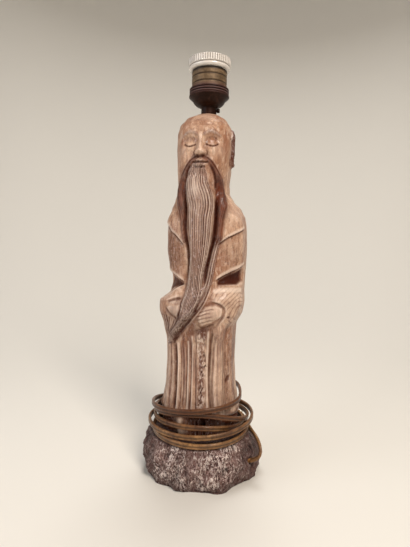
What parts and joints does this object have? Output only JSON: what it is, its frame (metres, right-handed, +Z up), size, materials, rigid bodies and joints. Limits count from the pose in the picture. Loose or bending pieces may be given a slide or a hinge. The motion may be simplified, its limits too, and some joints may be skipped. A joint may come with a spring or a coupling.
{
  "type": "figural table lamp",
  "caption": "Figural table lamp: a carved, robed standing figure on a rough bark base, a screw-cap lampholder with a white fluted ring on its head, and a flex wound round its foot.",
  "frame": {"origin": "on the table, at the centre of the base's outline, under the lamp rod", "axes": "+Z up along the lamp rod; the figure faces -Y; +X is to the figure's left hand"},
  "size_m": [0.1487, 0.1955, 0.4384],
  "materials": {
    "carved_wood": "waxed, stained dark in the grooves",
    "bark": "rough bark with pale flecks",
    "plated_steel": "zinc plated",
    "dark_brass": "blackened, satin",
    "aged_brass": "aged, satin",
    "white_porcelain": "glossy glaze",
    "insert_porcelain": "unglazed",
    "bright_brass": "drawn",
    "gold_flex": "golden brown, glossy twin flex",
    "brown_core": "smooth",
    "blue_core": "smooth",
    "bush_rubber": "matt",
    "plug_plastic": "moulded",
    "pin_metal": "nickel plated"
  },
  "bodies": {
    "lamp": {"carved_figure": "carved_wood", "rough_base": "bark", "lamp_rod": "plated_steel", "rod_washer": "plated_steel", "head_washer": "dark_brass", "rod_nut": "plated_steel", "holder_cap": "dark_brass", "socket_core": "insert_porcelain", "thread_sleeve": "bright_brass", "terminal_blocks": "bright_brass", "terminal_screws": "bright_brass", "inner_flex": "gold_flex", "live_wire": "brown_core", "neutral_wire": "blue_core", "cord_bush": "bush_rubber", "cord_lead": "gold_flex", "cord_winding": "gold_flex", "cord_tail": "gold_flex", "plug_relief": "plug_plastic", "plug_body": "plug_plastic", "plug_pins": "pin_metal"},
    "shell": {"holder_shell": "aged_brass"},
    "ring": {"porcelain_ring": "white_porcelain"},
    "screw": {"neck_screw": "dark_brass"},
    "contact": {"centre_contact": "bright_brass"}
  },
  "joints": [
    {"name": "shell_turn", "type": "hinge", "parent": "lamp", "child": "shell", "pos_m": [0, 0, 0.415], "axis": [0, 0, 1], "range_deg": [0, 720]},
    {"name": "ring_turn", "type": "hinge", "parent": "shell", "child": "ring", "pos_m": [0, 0, 0.433], "axis": [0, 0, 1], "range_deg": [0, 720]},
    {"name": "neck_screw_turn", "type": "hinge", "parent": "lamp", "child": "screw", "pos_m": [0, 0, 0.3884], "axis": [0.9781, 0.2079, 0], "range_deg": [0, 720]},
    {"name": "contact_press", "type": "slide", "parent": "lamp", "child": "contact", "axis": [0, 0, -1], "range_m": [0, 0.002], "stiffness_N_per_m": 600, "springref_m": -0.001}
  ]
}
